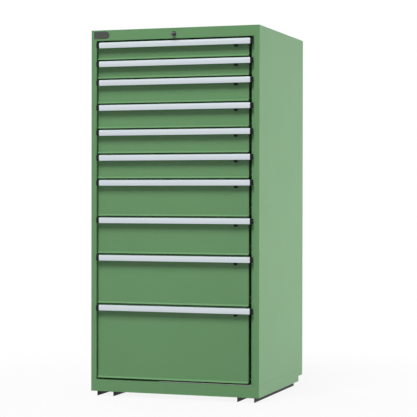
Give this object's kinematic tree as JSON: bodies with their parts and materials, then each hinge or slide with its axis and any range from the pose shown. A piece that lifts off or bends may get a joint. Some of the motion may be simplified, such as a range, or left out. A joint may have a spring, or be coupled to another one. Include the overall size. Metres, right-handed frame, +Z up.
{
  "type": "tool cabinet",
  "caption": "Tall steel tool cabinet with roller drawers of rising height, full-width handles, side catches, a key lock and two skids below.",
  "frame": {"origin": "on the floor, in the middle of the overall width and depth", "axes": "+X to the right seen from the front, +Y to the back, +Z up"},
  "size_m": [0.705, 0.67, 1.467],
  "materials": {
    "green_paint": "semi-gloss powder coat",
    "black_paint": "satin",
    "zinc_steel": "zinc plated",
    "aluminium": "satin anodised",
    "black_plastic": "fine matt",
    "badge_plastic": "gloss, bare",
    "lock_metal": "dulled nickel",
    "key_metal": "nickel"
  },
  "bodies": {
    "root": {"front_frame": "green_paint", "left_side_panel": "green_paint", "right_side_panel": "green_paint", "back_panel": "green_paint", "top_panel": "green_paint", "floor_panel": "green_paint", "base_plinth": "green_paint", "left_skid": "black_paint", "right_skid": "black_paint", "latch_post": "green_paint", "corner_uprights": "zinc_steel", "fixed_rails": "zinc_steel", "badge_plate": "badge_plastic", "lock_barrel": "lock_metal", "lock_bar_guides": "zinc_steel"},
    "lock": {"lock_plug": "lock_metal", "key": "key_metal", "key_ring": "key_metal", "lock_rod": "zinc_steel"},
    "lock_bar": {"lock_bar": "zinc_steel"},
    "drawer_01": {"drawer_01_tray": "green_paint", "drawer_01_handle": "aluminium"},
    "drawer_01_mid_rails": {"drawer_01_mid_rails": "zinc_steel"},
    "drawer_01_catch": {"drawer_01_catch": "black_plastic"},
    "drawer_02": {"drawer_02_tray": "green_paint", "drawer_02_handle": "aluminium"},
    "drawer_02_mid_rails": {"drawer_02_mid_rails": "zinc_steel"},
    "drawer_02_catch": {"drawer_02_catch": "black_plastic"},
    "drawer_03": {"drawer_03_tray": "green_paint", "drawer_03_handle": "aluminium"},
    "drawer_03_mid_rails": {"drawer_03_mid_rails": "zinc_steel"},
    "drawer_03_catch": {"drawer_03_catch": "black_plastic"},
    "drawer_04": {"drawer_04_tray": "green_paint", "drawer_04_handle": "aluminium"},
    "drawer_04_mid_rails": {"drawer_04_mid_rails": "zinc_steel"},
    "drawer_04_catch": {"drawer_04_catch": "black_plastic"},
    "drawer_05": {"drawer_05_tray": "green_paint", "drawer_05_handle": "aluminium"},
    "drawer_05_mid_rails": {"drawer_05_mid_rails": "zinc_steel"},
    "drawer_05_catch": {"drawer_05_catch": "black_plastic"},
    "drawer_06": {"drawer_06_tray": "green_paint", "drawer_06_handle": "aluminium"},
    "drawer_06_mid_rails": {"drawer_06_mid_rails": "zinc_steel"},
    "drawer_06_catch": {"drawer_06_catch": "black_plastic"},
    "drawer_07": {"drawer_07_tray": "green_paint", "drawer_07_handle": "aluminium"},
    "drawer_07_mid_rails": {"drawer_07_mid_rails": "zinc_steel"},
    "drawer_07_catch": {"drawer_07_catch": "black_plastic"},
    "drawer_08": {"drawer_08_tray": "green_paint", "drawer_08_handle": "aluminium"},
    "drawer_08_mid_rails": {"drawer_08_mid_rails": "zinc_steel"},
    "drawer_08_catch": {"drawer_08_catch": "black_plastic"},
    "drawer_09": {"drawer_09_tray": "green_paint", "drawer_09_handle": "aluminium"},
    "drawer_09_mid_rails": {"drawer_09_mid_rails": "zinc_steel"},
    "drawer_09_catch": {"drawer_09_catch": "black_plastic"},
    "drawer_10": {"drawer_10_tray": "green_paint", "drawer_10_handle": "aluminium"},
    "drawer_10_mid_rails": {"drawer_10_mid_rails": "zinc_steel"},
    "drawer_10_catch": {"drawer_10_catch": "black_plastic"}
  },
  "joints": [
    {"name": "lock_turn", "type": "hinge", "parent": "root", "child": "lock", "pos_m": [0, -0.305, 1.4434], "axis": [0, 1, 0], "range_deg": [0, 90]},
    {"name": "lock_bar_lift", "type": "slide", "parent": "root", "child": "lock_bar", "axis": [0, 0, 1], "range_m": [0, 0.01131]},
    {"name": "drawer_01_slide", "type": "slide", "parent": "root", "child": "drawer_01", "axis": [0, -1, 0], "range_m": [0, 0.55]},
    {"name": "drawer_01_mid_rails_slide", "type": "slide", "parent": "root", "child": "drawer_01_mid_rails", "axis": [0, -1, 0], "range_m": [0, 0.275]},
    {"name": "drawer_01_catch_slide", "type": "slide", "parent": "drawer_01", "child": "drawer_01_catch", "axis": [-1, 0, 0], "range_m": [0, 0.008], "stiffness_N_per_m": 300},
    {"name": "drawer_02_slide", "type": "slide", "parent": "root", "child": "drawer_02", "axis": [0, -1, 0], "range_m": [0, 0.55]},
    {"name": "drawer_02_mid_rails_slide", "type": "slide", "parent": "root", "child": "drawer_02_mid_rails", "axis": [0, -1, 0], "range_m": [0, 0.275]},
    {"name": "drawer_02_catch_slide", "type": "slide", "parent": "drawer_02", "child": "drawer_02_catch", "axis": [-1, 0, 0], "range_m": [0, 0.008], "stiffness_N_per_m": 300},
    {"name": "drawer_03_slide", "type": "slide", "parent": "root", "child": "drawer_03", "axis": [0, -1, 0], "range_m": [0, 0.55]},
    {"name": "drawer_03_mid_rails_slide", "type": "slide", "parent": "root", "child": "drawer_03_mid_rails", "axis": [0, -1, 0], "range_m": [0, 0.275]},
    {"name": "drawer_03_catch_slide", "type": "slide", "parent": "drawer_03", "child": "drawer_03_catch", "axis": [-1, 0, 0], "range_m": [0, 0.008], "stiffness_N_per_m": 300},
    {"name": "drawer_04_slide", "type": "slide", "parent": "root", "child": "drawer_04", "axis": [0, -1, 0], "range_m": [0, 0.55]},
    {"name": "drawer_04_mid_rails_slide", "type": "slide", "parent": "root", "child": "drawer_04_mid_rails", "axis": [0, -1, 0], "range_m": [0, 0.275]},
    {"name": "drawer_04_catch_slide", "type": "slide", "parent": "drawer_04", "child": "drawer_04_catch", "axis": [-1, 0, 0], "range_m": [0, 0.008], "stiffness_N_per_m": 300},
    {"name": "drawer_05_slide", "type": "slide", "parent": "root", "child": "drawer_05", "axis": [0, -1, 0], "range_m": [0, 0.55]},
    {"name": "drawer_05_mid_rails_slide", "type": "slide", "parent": "root", "child": "drawer_05_mid_rails", "axis": [0, -1, 0], "range_m": [0, 0.275]},
    {"name": "drawer_05_catch_slide", "type": "slide", "parent": "drawer_05", "child": "drawer_05_catch", "axis": [-1, 0, 0], "range_m": [0, 0.008], "stiffness_N_per_m": 300},
    {"name": "drawer_06_slide", "type": "slide", "parent": "root", "child": "drawer_06", "axis": [0, -1, 0], "range_m": [0, 0.55]},
    {"name": "drawer_06_mid_rails_slide", "type": "slide", "parent": "root", "child": "drawer_06_mid_rails", "axis": [0, -1, 0], "range_m": [0, 0.275]},
    {"name": "drawer_06_catch_slide", "type": "slide", "parent": "drawer_06", "child": "drawer_06_catch", "axis": [-1, 0, 0], "range_m": [0, 0.008], "stiffness_N_per_m": 300},
    {"name": "drawer_07_slide", "type": "slide", "parent": "root", "child": "drawer_07", "axis": [0, -1, 0], "range_m": [0, 0.55]},
    {"name": "drawer_07_mid_rails_slide", "type": "slide", "parent": "root", "child": "drawer_07_mid_rails", "axis": [0, -1, 0], "range_m": [0, 0.275]},
    {"name": "drawer_07_catch_slide", "type": "slide", "parent": "drawer_07", "child": "drawer_07_catch", "axis": [-1, 0, 0], "range_m": [0, 0.008], "stiffness_N_per_m": 300},
    {"name": "drawer_08_slide", "type": "slide", "parent": "root", "child": "drawer_08", "axis": [0, -1, 0], "range_m": [0, 0.55]},
    {"name": "drawer_08_mid_rails_slide", "type": "slide", "parent": "root", "child": "drawer_08_mid_rails", "axis": [0, -1, 0], "range_m": [0, 0.275]},
    {"name": "drawer_08_catch_slide", "type": "slide", "parent": "drawer_08", "child": "drawer_08_catch", "axis": [-1, 0, 0], "range_m": [0, 0.008], "stiffness_N_per_m": 300},
    {"name": "drawer_09_slide", "type": "slide", "parent": "root", "child": "drawer_09", "axis": [0, -1, 0], "range_m": [0, 0.55]},
    {"name": "drawer_09_mid_rails_slide", "type": "slide", "parent": "root", "child": "drawer_09_mid_rails", "axis": [0, -1, 0], "range_m": [0, 0.275]},
    {"name": "drawer_09_catch_slide", "type": "slide", "parent": "drawer_09", "child": "drawer_09_catch", "axis": [-1, 0, 0], "range_m": [0, 0.008], "stiffness_N_per_m": 300},
    {"name": "drawer_10_slide", "type": "slide", "parent": "root", "child": "drawer_10", "axis": [0, -1, 0], "range_m": [0, 0.55]},
    {"name": "drawer_10_mid_rails_slide", "type": "slide", "parent": "root", "child": "drawer_10_mid_rails", "axis": [0, -1, 0], "range_m": [0, 0.275]},
    {"name": "drawer_10_catch_slide", "type": "slide", "parent": "drawer_10", "child": "drawer_10_catch", "axis": [-1, 0, 0], "range_m": [0, 0.008], "stiffness_N_per_m": 300}
  ],
  "couplings": [
    {"joint": "lock_turn", "follows": "lock_bar_lift", "rad_per_m": 138.84},
    {"joint": "drawer_01_mid_rails_slide", "follows": "drawer_01_slide", "ratio": 0.5},
    {"joint": "drawer_02_mid_rails_slide", "follows": "drawer_02_slide", "ratio": 0.5},
    {"joint": "drawer_03_mid_rails_slide", "follows": "drawer_03_slide", "ratio": 0.5},
    {"joint": "drawer_04_mid_rails_slide", "follows": "drawer_04_slide", "ratio": 0.5},
    {"joint": "drawer_05_mid_rails_slide", "follows": "drawer_05_slide", "ratio": 0.5},
    {"joint": "drawer_06_mid_rails_slide", "follows": "drawer_06_slide", "ratio": 0.5},
    {"joint": "drawer_07_mid_rails_slide", "follows": "drawer_07_slide", "ratio": 0.5},
    {"joint": "drawer_08_mid_rails_slide", "follows": "drawer_08_slide", "ratio": 0.5},
    {"joint": "drawer_09_mid_rails_slide", "follows": "drawer_09_slide", "ratio": 0.5},
    {"joint": "drawer_10_mid_rails_slide", "follows": "drawer_10_slide", "ratio": 0.5}
  ]
}
